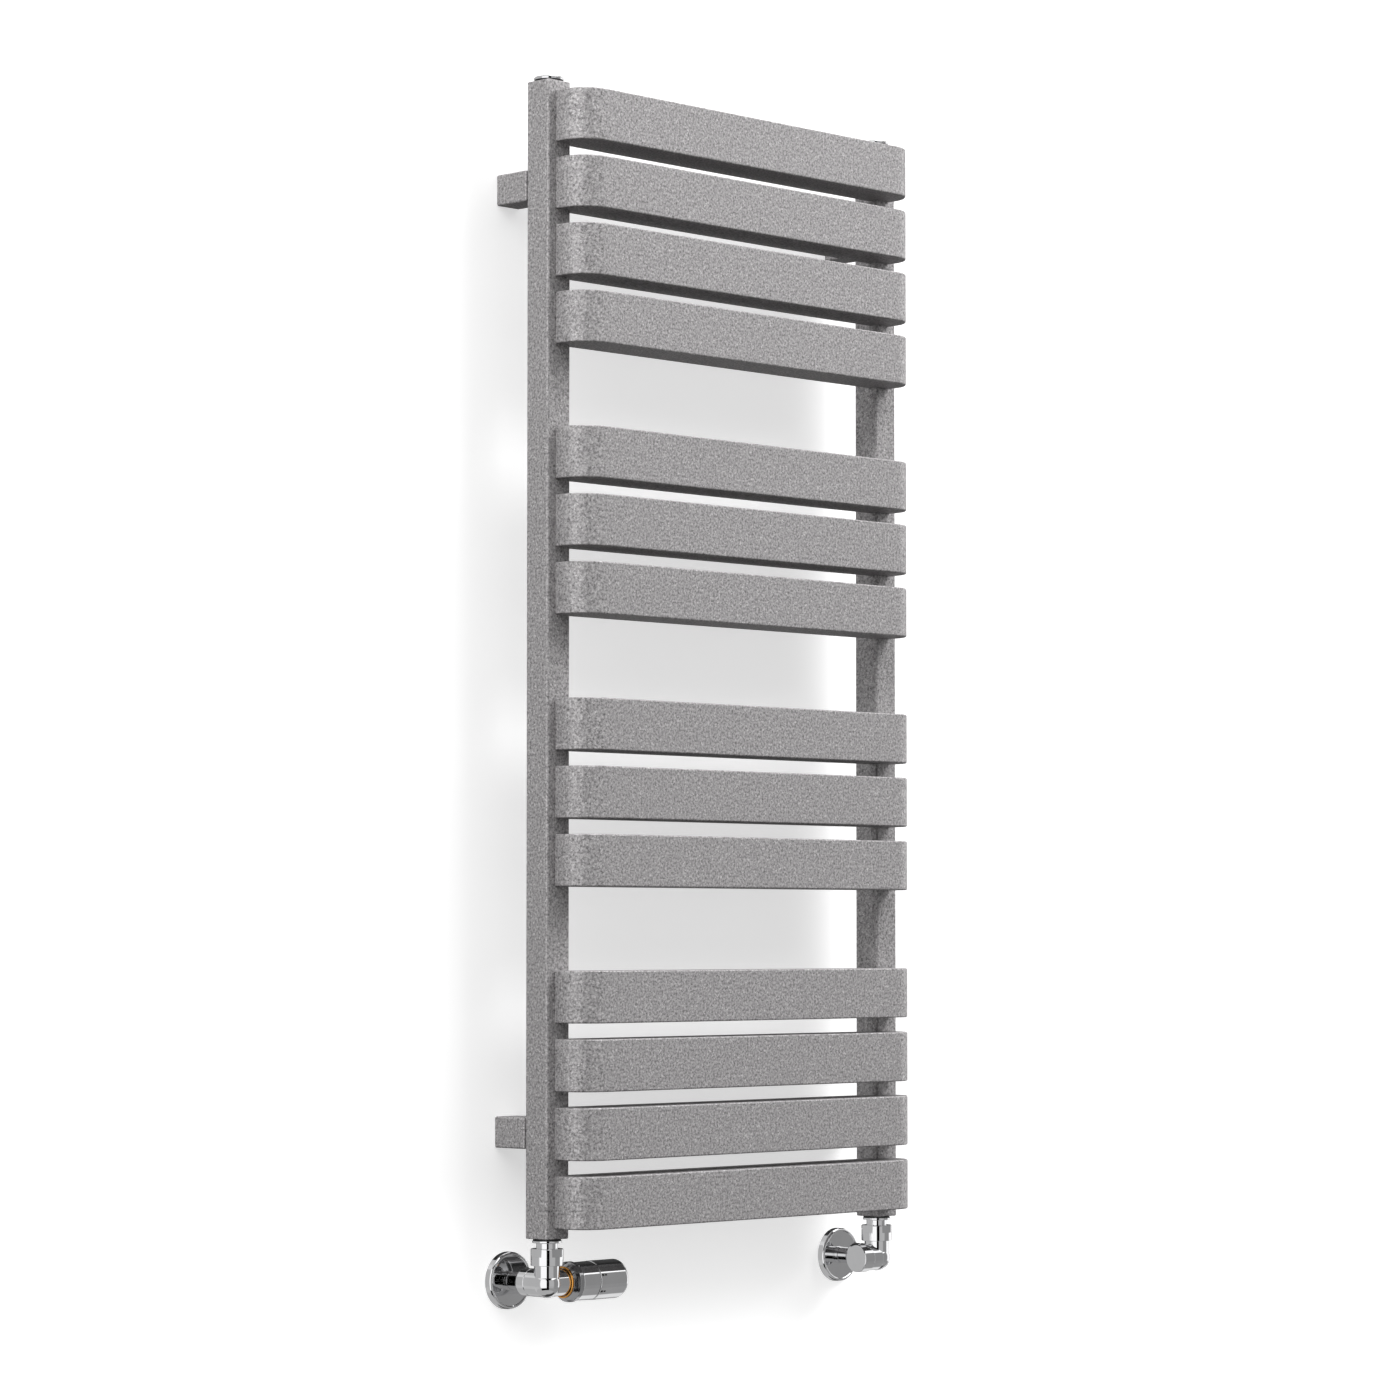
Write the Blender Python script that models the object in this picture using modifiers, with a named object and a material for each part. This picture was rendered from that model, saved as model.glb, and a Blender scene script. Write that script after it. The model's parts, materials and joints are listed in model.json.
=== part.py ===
"""Wall-hung ladder radiator with an angled thermostatic valve and an angled lockshield valve.

World frame, in metres: the wall is the plane y = 0 and the room is at -y, x = 0 is the middle of
the radiator, and z = 0 is the lower end of its two upright collectors.
"""

import math

import bmesh
import bpy
from mathutils import Matrix, Vector

MM = 0.001
GAP = 0.3 * MM  # between pieces that touch

# Radiator body
WIDTH = 500 * MM
HEIGHT = 1110 * MM
TUBE = 30 * MM  # side of the square collectors
TUBE_WALL = 1.5 * MM
TUBE_EDGE = 2.5 * MM  # along the tubes
TUBE_END_EDGE = 1.2 * MM
WALL_TO_TUBE = 42 * MM
TUBE_FRONT = -(WALL_TO_TUBE + TUBE)
TUBE_X = (WIDTH - TUBE) / 2
TUBE_Y = TUBE_FRONT + TUBE / 2
CAP_THICK = 5 * MM

BAR_MARGIN = 10 * MM  # from the collectors' ends and outer faces to the bars
BAR_HEIGHT = 50 * MM
BAR_PITCH = 65 * MM
BAR_FRONT = 40 * MM  # in front of the collectors
BAR_BACK = 10 * MM  # behind the collectors' front face, between them
BAR_CORNER = 30 * MM
BAR_EDGE = 1.5 * MM
BAR_WALL = 1.5 * MM
BAR_SLOTS = (0, 1, 2, 3, 5, 6, 7, 9, 10, 11, 13, 14, 15, 16)
PORT_R = 6 * MM

BRACKET_INSET = 100 * MM  # from the collectors' ends to the bracket axes
BRACKET_EDGE = 2 * MM
BRACKET_SEAM = 1 * MM  # shadow gap between a bracket and its collector
BASE_SIDE = 26 * MM
BASE_DEPTH = 26 * MM
SCREW_HEAD_R = 6 * MM
SCREW_R = 3 * MM

# Fittings screwed into the collectors
THREAD_R = 10 * MM
THREAD_HOLE_R = 10.3 * MM
FLANGE_R = 14.2 * MM
SEAL_R = 13.5 * MM
SEAL_THICK = 1.2 * MM
PLUG_SEAL_THICK = 1 * MM
PLUG_FLANGE_THICK = 2.8 * MM

# Valves: heights below the collectors, and radii about the valve's own axes
VALVE_DROP = 42.5 * MM
NECK_R = 10.3 * MM
NUT_R = 15.6 * MM
NUT_FLAT = 28 * MM  # across the milled flats
NUT_FLAT_HEIGHT = 7.6 * MM
NUT_TOP = -9.2 * MM
NUT_HEIGHT = 16.1 * MM
BODY_R = 12.4 * MM
ELBOW_R = 13.7 * MM  # the ball where the body's three arms meet
ARM_R = 13.3 * MM
PORT_R_HEAD = 12.8 * MM
PORT_R_CAP = 13.1 * MM
BORE_R = 7.5 * MM
PIPE_END = 19 * MM  # from the upright axis to the pipe nut
PIPE_NUT_LENGTH = 12.3 * MM
SLEEVE_R = 8.4 * MM
SLEEVE_BORE_R = 7.7 * MM
ROSETTE_R = 27.5 * MM
ROSETTE_DEPTH = 8 * MM

# Distances along the thermostatic head, from the valve's upright axis
PORT_END = 19 * MM
COLLAR_START = 21.6 * MM
COLLAR_END = 32 * MM
HANDLE_START = 55 * MM
HANDLE_END = 93.5 * MM
COLLAR_R = 19.4 * MM
SHOULDER_END = 26.8 * MM
HEAD_R = 18.8 * MM
TAIL_BORE_R = 3 * MM

# Distances along the lockshield cap, from its valve's upright axis
CAP_START = 17 * MM
CAP_END = 31.6 * MM
CAP_R = 13.9 * MM
CAP_NECK_R = 11.8 * MM
CAP_NECK_END = 23 * MM

RING_STEPS = 20
TURNED_STEPS = 24
HEAD_STEPS = 28
SMALL_STEPS = 14
PORT_STEPS = 8

COLOURS = {
    "coat": ((0.36, 0.36, 0.365), 0.35, 0.45),
    "chrome": ((0.78, 0.78, 0.79), 1.0, 0.06),
    "steel": ((0.55, 0.55, 0.56), 1.0, 0.35),
    "brass": ((0.72, 0.52, 0.25), 1.0, 0.30),
    "copper": ((0.83, 0.42, 0.14), 1.0, 0.22),
    "rubber": ((0.02, 0.02, 0.02), 0.0, 0.75),
    "wax_cell": ((0.60, 0.58, 0.55), 0.9, 0.40),
}


# ---------------------------------------------------------------- scene and materials


def clear_scene():
    for obj in list(bpy.data.objects):
        bpy.data.objects.remove(obj, do_unlink=True)


def new_collection(name):
    group = bpy.data.collections.new(name)
    bpy.context.scene.collection.children.link(group)
    return group


def material(node, finish):
    colour, metallic, roughness = COLOURS[finish]
    made = bpy.data.materials.new(f"{node}_{finish}")
    made.use_nodes = True
    shader = made.node_tree.nodes["Principled BSDF"]
    shader.inputs["Base Color"].default_value = (*colour, 1.0)
    shader.inputs["Metallic"].default_value = metallic
    shader.inputs["Roughness"].default_value = roughness
    made.diffuse_color = (*colour, 1.0)
    return made


def add_part(name, mesh, finish, place=None):
    """A named sub-part in the parts collection."""
    obj = bpy.data.objects.new(name, mesh)
    mesh.materials.clear()
    mesh.materials.append(material(name, finish))
    if place is not None:
        obj.matrix_world = place
    PARTS.objects.link(obj)
    return obj


def add_cutter(name, mesh, place=None):
    obj = bpy.data.objects.new(f"cut_{name}", mesh)
    obj.hide_render = True
    obj.display_type = "WIRE"
    if place is not None:
        obj.matrix_world = place
    CUTTERS.objects.link(obj)
    return obj


# ---------------------------------------------------------------- placing


def facing(axis, origin):
    """A placement whose local +Z points along axis."""
    turn = Vector((0, 0, 1)).rotation_difference(Vector(axis))
    return Matrix.Translation(Vector(origin)) @ turn.to_matrix().to_4x4()


# ---------------------------------------------------------------- meshes


def mesh_from(bm, name):
    bmesh.ops.recalc_face_normals(bm, faces=bm.faces[:])
    mesh = bpy.data.meshes.new(name)
    bm.to_mesh(mesh)
    bm.free()
    return mesh


def box_mesh(name, size, centre=(0, 0, 0)):
    bm = bmesh.new()
    bmesh.ops.create_cube(bm, size=1.0)
    bmesh.ops.scale(bm, vec=size, verts=bm.verts[:])
    bmesh.ops.translate(bm, vec=centre, verts=bm.verts[:])
    return mesh_from(bm, name)


def rod_mesh(name, radius, low, high, steps=RING_STEPS):
    """A solid cylinder along Z from low to high."""
    bm = bmesh.new()
    bmesh.ops.create_cone(
        bm,
        cap_ends=True,
        segments=steps,
        radius1=radius,
        radius2=radius,
        depth=high - low,
    )
    bmesh.ops.translate(bm, vec=(0, 0, (low + high) / 2), verts=bm.verts[:])
    return mesh_from(bm, name)


def ball_mesh(name, radius, steps=RING_STEPS):
    bm = bmesh.new()
    bmesh.ops.create_uvsphere(bm, u_segments=steps, v_segments=steps // 2, radius=radius)
    return mesh_from(bm, name)


def plate_mesh(name, outline, low, high):
    """A flat outline of (x, y) points, made solid between two heights."""
    curve = bpy.data.curves.new(name, "CURVE")
    curve.dimensions = "2D"
    curve.fill_mode = "BOTH"
    curve.extrude = (high - low) / 2
    spline = curve.splines.new("POLY")
    spline.points.add(len(outline) - 1)
    for point, (x, y) in zip(spline.points, outline):
        point.co = (x, y, 0, 1)
    spline.use_cyclic_u = True
    flat = bpy.data.objects.new(name, curve)
    CUTTERS.objects.link(flat)
    graph = bpy.context.evaluated_depsgraph_get()
    mesh = bpy.data.meshes.new_from_object(flat.evaluated_get(graph))
    bpy.data.objects.remove(flat)
    bpy.data.curves.remove(curve)
    bm = bmesh.new()
    bm.from_mesh(mesh)
    bpy.data.meshes.remove(mesh)
    bmesh.ops.remove_doubles(bm, verts=bm.verts[:], dist=1e-5)
    bmesh.ops.dissolve_limit(bm, angle_limit=0.01, verts=bm.verts[:], edges=bm.edges[:])
    bmesh.ops.translate(bm, vec=(0, 0, (low + high) / 2), verts=bm.verts[:])
    return mesh_from(bm, name)


def arc(cx, cy, radius, start, end, steps):
    """Points on an arc, with angles in degrees."""
    angles = [math.radians(start + (end - start) * i / steps) for i in range(steps + 1)]
    return [(cx + radius * math.cos(a), cy + radius * math.sin(a)) for a in angles]


def square_outline(side, corner):
    """A square about the origin with round corners."""
    reach = side / 2 - corner
    turns = ((reach, reach, 0), (-reach, reach, 90), (-reach, -reach, 180), (reach, -reach, 270))
    return [point for x, y, start in turns for point in arc(x, y, corner, start, start + 90, 3)]


def softened(points, closed):
    """Plain (r, z) points for a profile of (r, z, fillet) points, with an arc where a fillet is given."""
    count = len(points)
    out = []
    for i, (r, z, fillet) in enumerate(points):
        if fillet == 0 or (not closed and i in (0, count - 1)):
            out.append((r, z))
            continue
        here = Vector((r, z))
        back = (Vector(points[i - 1][:2]) - here).normalized()
        ahead = (Vector(points[(i + 1) % count][:2]) - here).normalized()
        half = back.angle(ahead) / 2
        start = here + back * fillet / math.tan(half)
        end = here + ahead * fillet / math.tan(half)
        centre = here + (back + ahead).normalized() * fillet / math.sin(half)
        steps = 1 + (fillet >= 1 * MM) + (fillet > 2 * MM)
        for k in range(steps + 1):
            spoke = (start - centre).lerp(end - centre, k / steps).normalized()
            out.append(tuple(centre + spoke * fillet))
    return out


def turned(name, profile, finish, place, closed=True, steps=TURNED_STEPS):
    """A turned sub-part. Its profile runs down the outer side, and closes on itself or on the axis."""
    points = softened(profile, closed)
    mesh = bpy.data.meshes.new(name)
    edges = [(i, i + 1) for i in range(len(points) - 1)]
    if closed:
        edges.append((len(points) - 1, 0))
    mesh.from_pydata([(r, 0, z) for r, z in points], edges, [])
    obj = add_part(name, mesh, finish, place)
    screw = obj.modifiers.new("turn", "SCREW")
    screw.steps = steps
    screw.render_steps = steps
    screw.use_merge_vertices = True
    screw.merge_threshold = 1e-5
    screw.use_smooth_shade = True
    return obj


def boolean(obj, cutter, operation="DIFFERENCE"):
    change = obj.modifiers.new(operation.lower(), "BOOLEAN")
    change.operation = operation
    change.solver = "EXACT"
    change.object = cutter


def soft_edges(obj, width, segments=2, angle=60):
    bevel = obj.modifiers.new("edges", "BEVEL")
    bevel.width = width
    bevel.segments = segments
    bevel.limit_method = "ANGLE"
    bevel.angle_limit = math.radians(angle)


def shade(obj, angle=35):
    """Smooth shading on the round faces of a mesh, with its sharp edges kept."""
    obj.data.shade_smooth()
    obj.data.set_sharp_from_angle(angle=math.radians(angle))


# ---------------------------------------------------------------- radiator body


def collectors():
    for side, sign in SIDES:
        place = Matrix.Translation((sign * TUBE_X, TUBE_Y, 0))
        outer = plate_mesh("tube", square_outline(TUBE, TUBE_EDGE), 0, HEIGHT)
        tube = add_part(f"collector_{side}", outer, "coat", place)
        soft_edges(tube, TUBE_END_EDGE)
        inner = TUBE - 2 * TUBE_WALL
        bore = box_mesh("bore", (inner, inner, HEIGHT + 20 * MM), (0, 0, HEIGHT / 2))
        boolean(tube, add_cutter(f"bore_{side}", bore, place))
        boolean(tube, port_cutter(side, sign, "tube", TUBE_FRONT - 5 * MM, TUBE_FRONT + 5 * MM))


def port_cutter(side, sign, name, front, back):
    """One mesh of water ports, one port for each bar, along Y at a collector's axis."""
    bm = bmesh.new()
    for slot in BAR_SLOTS:
        port = rod_mesh("port", PORT_R, front, back, steps=PORT_STEPS)
        spin = Matrix.Rotation(math.radians(-90), 4, "X")
        port.transform(Matrix.Translation((sign * TUBE_X, 0, bar_middle(slot))) @ spin)
        bm.from_mesh(port)
        bpy.data.meshes.remove(port)
    return add_cutter(f"ports_{name}_{side}", mesh_from(bm, "ports"))


def collector_caps():
    """The plates that close the collectors, flush with their ends and threaded for the fittings."""
    side_length = TUBE - 2 * TUBE_WALL - 2 * GAP
    for side, sign in SIDES:
        for end, low in (("bottom", 0), ("top", HEIGHT - CAP_THICK)):
            size = (side_length, side_length, CAP_THICK)
            name = f"collector_cap_{end}_{side}"
            place = Matrix.Translation((sign * TUBE_X, TUBE_Y, low))
            cap = add_part(name, box_mesh("cap", size, (0, 0, CAP_THICK / 2)), "coat", place)
            hole = rod_mesh("hole", THREAD_HOLE_R, -5 * MM, CAP_THICK + 5 * MM)
            boolean(cap, add_cutter(name, hole, place))


def bar_middle(slot):
    return HEIGHT - BAR_MARGIN - BAR_HEIGHT / 2 - slot * BAR_PITCH


def bar_outline(inset):
    """The bar seen from above, moved inwards by inset.

    Its front corners are round, and its back fits between the collectors.
    """
    half = WIDTH / 2 - BAR_MARGIN - inset
    front = TUBE_FRONT - BAR_FRONT + inset
    shoulder = TUBE_FRONT - GAP - inset
    back = TUBE_FRONT + BAR_BACK - inset
    neck = TUBE_X - TUBE / 2 - GAP - inset
    corner = BAR_CORNER - inset
    left = arc(-half + corner, front + corner, corner, 180, 270, 6)
    right = arc(half - corner, front + corner, corner, 270, 360, 6)
    rear = [(half, shoulder), (neck, shoulder), (neck, back)]
    return left + right + rear + [(-x, y) for x, y in reversed(rear)]


def bars():
    """The hollow heating bars. Each one opens into both collectors through a port."""
    for number, slot in enumerate(BAR_SLOTS, start=1):
        place = Matrix.Translation((0, 0, bar_middle(slot)))
        name = f"bar_{number:02d}"
        outer = plate_mesh("bar", bar_outline(0), -BAR_HEIGHT / 2, BAR_HEIGHT / 2)
        bar = add_part(name, outer, "coat", place)
        soft_edges(bar, BAR_EDGE, segments=1)
        low = -BAR_HEIGHT / 2 + BAR_WALL
        hollow = plate_mesh("hollow", bar_outline(BAR_WALL), low, -low)
        boolean(bar, add_cutter(f"{name}_hollow", hollow, place))
        for side, sign in SIDES:
            port = rod_mesh("port", PORT_R, -5 * MM, 5 * MM, steps=PORT_STEPS)
            spot = facing((0, 1, 0), (sign * TUBE_X, TUBE_FRONT, bar_middle(slot)))
            boolean(bar, add_cutter(f"{name}_port_{side}", port, spot))


def brackets():
    """Four stand-offs: a square sleeve over a base that a screw holds to the wall."""
    length = WALL_TO_TUBE - BRACKET_SEAM
    for side, sign in SIDES:
        for level, z in (("lower", BRACKET_INSET), ("upper", HEIGHT - BRACKET_INSET)):
            tag = f"{level}_{side}"
            place = Matrix.Translation((sign * TUBE_X, 0, z))
            size = (TUBE, length, TUBE)
            block = box_mesh("sleeve", size, (0, -length / 2, 0))
            sleeve = add_part(f"bracket_sleeve_{tag}", block, "coat", place)
            soft_edges(sleeve, BRACKET_EDGE, segments=2)
            inner = BASE_SIDE + 2 * GAP
            depth = length - TUBE_WALL
            pocket = box_mesh("pocket", (inner, depth + 5 * MM, inner), (0, (5 * MM - depth) / 2, 0))
            boolean(sleeve, add_cutter(f"pocket_{tag}", pocket, place))

            size = (BASE_SIDE, BASE_DEPTH, BASE_SIDE)
            block = box_mesh("base", size, (0, -BASE_DEPTH / 2, 0))
            base = add_part(f"bracket_base_{tag}", block, "steel", place)
            room = SCREW_HEAD_R + GAP
            recess = rod_mesh("recess", room, 8 * MM, BASE_DEPTH + 5 * MM, steps=SMALL_STEPS)
            shank = rod_mesh("shank", SCREW_R + GAP, -5 * MM, 10 * MM, steps=SMALL_STEPS)
            towards_room = facing((0, -1, 0), (sign * TUBE_X, 0, z))
            boolean(base, add_cutter(f"recess_{tag}", recess, towards_room))
            boolean(base, add_cutter(f"shank_{tag}", shank, towards_room))

            head = 8 * MM + GAP
            profile = [
                (0, head + 4 * MM, 0),
                (SCREW_HEAD_R, head + 4 * MM, 0.8 * MM),
                (SCREW_HEAD_R, head, 0),
                (SCREW_R, head, 0),
                (SCREW_R, 0, 0),
                (0, 0, 0),
            ]
            turned(f"bracket_screw_{tag}", profile, "steel", towards_room, closed=False, steps=SMALL_STEPS)


# ---------------------------------------------------------------- top fittings


def seal_profile(radius, low, thick):
    edge = thick * 0.3
    return [
        (THREAD_R + GAP, low + thick, 0),
        (radius, low + thick, edge),
        (radius, low, edge),
        (THREAD_R + GAP, low, 0),
    ]


def plug_profile(bore):
    """A screwed plug with a domed flange, with a hole down its middle if bore is not 0."""
    low = GAP + PLUG_SEAL_THICK + GAP
    high = low + PLUG_FLANGE_THICK
    bottom = -12 * MM
    return [
        (bore, high, 0),
        (FLANGE_R, high, 1.2 * MM),
        (FLANGE_R, low, 0),
        (THREAD_R, low, 0),
        (THREAD_R, bottom, 0.8 * MM),
        (bore, bottom, 0),
    ]


def top_fittings():
    vent_r = 3 * MM
    for side, sign in SIDES:
        kind = "blank" if side == "left" else "vent"
        bore = 0 if kind == "blank" else vent_r + GAP
        place = Matrix.Translation((sign * TUBE_X, TUBE_Y, HEIGHT))
        turned(f"{kind}_plug", plug_profile(bore), "chrome", place, closed=bore > 0)
        turned(f"{kind}_plug_seal", seal_profile(SEAL_R, GAP, PLUG_SEAL_THICK), "rubber", place)
        if kind == "blank":
            continue
        screw = turned(
            "vent_screw",
            [
                (0, 3.6 * MM, 0),
                (vent_r, 3.6 * MM, 0.5 * MM),
                (vent_r, -8 * MM, 0),
                (0, -11 * MM, 0),
            ],
            "brass",
            place,
            closed=False,
            steps=SMALL_STEPS,
        )
        slot = box_mesh("slot", (10 * MM, 1 * MM, 2 * MM), (0, 0, 4 * MM))
        boolean(screw, add_cutter("vent_slot", slot, place))


# ---------------------------------------------------------------- pieces that both valves have


def tail(side, axis_x):
    """The screwed tail between the collector and the union nut, and the washer under its flange."""
    place = Matrix.Translation((axis_x, TUBE_Y, 0))
    seal_low = -GAP - SEAL_THICK
    turned(f"tail_seal_{side}", seal_profile(SEAL_R, seal_low, SEAL_THICK), "rubber", place)
    flange_top = seal_low - GAP
    flange_low = flange_top - 2 * MM
    lip_top = NUT_TOP - 4 * MM - GAP
    lip_low = -20 * MM
    profile = [
        (BORE_R, 10 * MM, 0),
        (THREAD_R, 10 * MM, 0.8 * MM),
        (THREAD_R, flange_top, 0),
        (FLANGE_R, flange_top, 0),
        (FLANGE_R, flange_low, 0.6 * MM),
        (NECK_R, flange_low, 0.5 * MM),
        (NECK_R, lip_top, 0),
        (BODY_R - 0.4 * MM, lip_top, 0),
        (BODY_R - 0.4 * MM, lip_low, 0),
        (BORE_R, lip_low, 0),
    ]
    turned(f"tail_{side}", profile, "chrome", place)


def union_nut(side, axis_x):
    """The big nut that pulls the tail onto the valve. Four flats are milled into its upper half."""
    place = Matrix.Translation((axis_x, TUBE_Y, 0))
    low = NUT_TOP - NUT_HEIGHT
    profile = [
        (NECK_R + GAP, NUT_TOP, 0),
        (NUT_R, NUT_TOP, 0.9 * MM),
        (NUT_R, low, 0.5 * MM),
        (BODY_R + GAP, low, 0),
        (BODY_R + GAP, NUT_TOP - 4 * MM, 0),
        (NECK_R + GAP, NUT_TOP - 4 * MM, 0),
    ]
    nut = turned(f"union_nut_{side}", profile, "chrome", place)
    bm = bmesh.new()
    reach = 10 * MM
    for quarter in range(4):
        side_block = box_mesh(
            "flat",
            (2 * reach, 4 * reach, NUT_FLAT_HEIGHT + reach),
            (NUT_FLAT / 2 + reach, 0, NUT_TOP - NUT_FLAT_HEIGHT + (NUT_FLAT_HEIGHT + reach) / 2),
        )
        side_block.transform(Matrix.Rotation(math.radians(90 * quarter), 4, "Z"))
        bm.from_mesh(side_block)
        bpy.data.meshes.remove(side_block)
    flats = mesh_from(bm, "flats")
    boolean(nut, add_cutter(f"flats_{side}", flats, place))


def valve_body(side, axis_x, port_sign, port_r, port_end, port_bore, neck_end=0):
    """The angled body: up to the union nut, back to the pipe nut, and sideways to the head or the cap.

    A neck_end above 0 adds a thinner threaded neck to the side port, for a cap to screw onto.
    """
    centre = Vector((axis_x, TUBE_Y, -VALVE_DROP))
    upright = facing((0, 0, 1), centre)
    to_wall = facing((0, 1, 0), centre)
    to_port = facing((port_sign, 0, 0), centre)
    top = VALVE_DROP - 20.3 * MM
    body = add_part(f"valve_body_{side}", ball_mesh("elbow", ELBOW_R), "chrome", upright)
    cuts = (
        ("upright", BODY_R, -3 * MM, top, upright, "UNION"),
        ("wall_arm", ARM_R, -2 * MM, PIPE_END, to_wall, "UNION"),
        ("thread", THREAD_R, 2 * MM, PIPE_END + 8 * MM, to_wall, "UNION"),
        ("port", port_r, -1 * MM, port_end, to_port, "UNION"),
        ("neck", CAP_NECK_R, 1 * MM, max(neck_end, port_end - 2 * MM), to_port, "UNION"),
        ("bore_up", BORE_R, -2.2 * MM, top + 5 * MM, upright, "DIFFERENCE"),
        ("bore_wall", BORE_R - 0.4 * MM, -1.3 * MM, PIPE_END + 20 * MM, to_wall, "DIFFERENCE"),
        ("bore_port", port_bore, -0.6 * MM, port_end + 20 * MM, to_port, "DIFFERENCE"),
    )
    for turn, (name, radius, low, high, place, operation) in enumerate(cuts):
        uneven = Matrix.Rotation(math.radians(2 + turn), 4, "Z")
        cutter = add_cutter(f"{name}_{side}", rod_mesh(name, radius, low, high), place @ uneven)
        boolean(body, cutter, operation)


def pipe_fittings(side, axis_x):
    """The pipe nut, the cover sleeve and the rosette, on the axis that runs into the wall."""
    axis = facing((0, 1, 0), (axis_x, TUBE_Y, -VALVE_DROP))
    start = PIPE_END + GAP
    end = PIPE_END + PIPE_NUT_LENGTH
    profile = [
        (SLEEVE_R, end, 0),
        (ARM_R - 0.9 * MM, end, 0.4 * MM),
        (ARM_R, end - 2 * MM, 0),
        (ARM_R, start, 1 * MM),
        (THREAD_HOLE_R, start, 0),
        (THREAD_HOLE_R, PIPE_END + 9 * MM, 0),
        (SLEEVE_R, PIPE_END + 9 * MM, 0),
    ]
    turned(f"pipe_nut_{side}", profile, "chrome", axis)

    wall = -TUBE_Y  # the wall's distance along this axis
    face = wall - ROSETTE_DEPTH
    collar = face - 1.8 * MM
    profile = [
        (SLEEVE_BORE_R, collar - GAP, 0),
        (SLEEVE_R, collar - GAP, 0),
        (SLEEVE_R, end + GAP, 0),
        (SLEEVE_BORE_R, end + GAP, 0),
    ]
    turned(f"pipe_sleeve_{side}", profile, "chrome", axis)

    skin = 1.2 * MM
    rim = ROSETTE_R - 2.6 * MM
    profile = [
        (ROSETTE_R - skin, wall, 0),
        (ROSETTE_R, wall, 0),
        (ROSETTE_R, face, 2.4 * MM),
        (rim, face, 0.6 * MM),
        (rim - 0.8 * MM, face + 1 * MM, 0),
        (SLEEVE_R + 0.8 * MM, face + 1 * MM, 0.5 * MM),
        (SLEEVE_R + 0.5 * MM, collar, 0.3 * MM),
        (SLEEVE_BORE_R, collar, 0),
        (SLEEVE_BORE_R, face + 1 * MM + skin, 0),
        (ROSETTE_R - skin, face + 1 * MM + skin, 0),
    ]
    turned(f"rosette_{side}", profile, "chrome", axis)


# ---------------------------------------------------------------- thermostatic head


def thermostatic_head(axis_x):
    axis = facing((1, 0, 0), (axis_x, TUBE_Y, -VALVE_DROP))
    valve_gland(axis)
    head_mounting(axis)
    head_handle(axis)
    sensor_and_spindle(axis)


def valve_gland(axis):
    """The brass insert in the valve's side port that guides the spindle."""
    profile = [
        (TAIL_BORE_R, PORT_END - 0.5 * MM, 0),
        (8 * MM, PORT_END - 0.5 * MM, 0.4 * MM),
        (8 * MM, 9 * MM, 0.4 * MM),
        (TAIL_BORE_R, 9 * MM, 0),
    ]
    turned("valve_gland", profile, "brass", axis, steps=RING_STEPS)


def head_mounting(axis):
    """The copper-coloured ring, the collar that clamps the head and the fixed base."""
    ring_middle = 14.2 * MM
    ring_r = 0.9 * MM
    ring_at = COLLAR_START - GAP - ring_r
    profile = [(ring_middle + x, ring_at + y, 0) for x, y in arc(0, 0, ring_r, 90, -225, 7)]
    turned("head_ring", profile, "copper", axis, steps=HEAD_STEPS)

    tail_r = 12.4 * MM
    profile = [
        (tail_r + GAP, COLLAR_END, 0),
        (COLLAR_R, COLLAR_END, 0.6 * MM),
        (COLLAR_R, SHOULDER_END, 1 * MM),
        (17.4 * MM, 24 * MM, 0),
        (15.2 * MM, COLLAR_START, 0),
        (tail_r + GAP, COLLAR_START, 0),
    ]
    turned("head_collar", profile, "chrome", axis, steps=HEAD_STEPS)

    spigot_r = 15 * MM
    lip = HANDLE_START - 0.7 * MM
    profile = [
        (spigot_r - 2.5 * MM, HANDLE_START + 7 * MM, 0),
        (spigot_r, HANDLE_START + 7 * MM, 0.5 * MM),
        (spigot_r, lip, 0),
        (HEAD_R - 0.2 * MM, lip, 0.6 * MM),
        (HEAD_R - 0.5 * MM, COLLAR_END + GAP, 0.4 * MM),
        (tail_r, COLLAR_END + GAP, 0),
        (tail_r, PORT_END + GAP, 0),
        (TAIL_BORE_R, PORT_END + GAP, 0),
        (TAIL_BORE_R, COLLAR_END, 0),
        (spigot_r - 2.5 * MM, COLLAR_END + 2 * MM, 0),
    ]
    turned("head_base", profile, "chrome", axis, steps=HEAD_STEPS)


def head_handle(axis):
    """The hollow handle, which turns on the base's spigot."""
    bore = 15.3 * MM
    skin = 2 * MM
    profile = [
        (0, HANDLE_END, 0),
        (HEAD_R, HANDLE_END, 5 * MM),
        (HEAD_R, HANDLE_START, 0.5 * MM),
        (bore, HANDLE_START, 0),
        (bore, HANDLE_END - skin, 3 * MM),
        (0, HANDLE_END - skin, 0),
    ]
    turned("head_handle", profile, "chrome", axis, closed=False, steps=HEAD_STEPS)


def sensor_and_spindle(axis):
    """The wax cell inside the handle, and the spindle that it pushes."""
    cell_low = 42 * MM
    profile = [
        (0, 84 * MM, 0),
        (5 * MM, 84 * MM, 0.8 * MM),
        (5 * MM, 76 * MM, 0),
        (11 * MM, 76 * MM, 1.5 * MM),
        (11 * MM, cell_low, 1.5 * MM),
        (0, cell_low, 0),
    ]
    turned("head_sensor", profile, "wax_cell", axis, closed=False, steps=RING_STEPS)

    rod_r = TAIL_BORE_R - 0.3 * MM
    profile = [
        (0, cell_low - GAP, 0),
        (rod_r, cell_low - GAP, 0.5 * MM),
        (rod_r, 5 * MM, 0),
        (5.5 * MM, 5 * MM, 0.5 * MM),
        (5.5 * MM, 1 * MM, 0.5 * MM),
        (0, 1 * MM, 0),
    ]
    turned("valve_spindle", profile, "steel", axis, closed=False, steps=RING_STEPS)


# ---------------------------------------------------------------- lockshield


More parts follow.
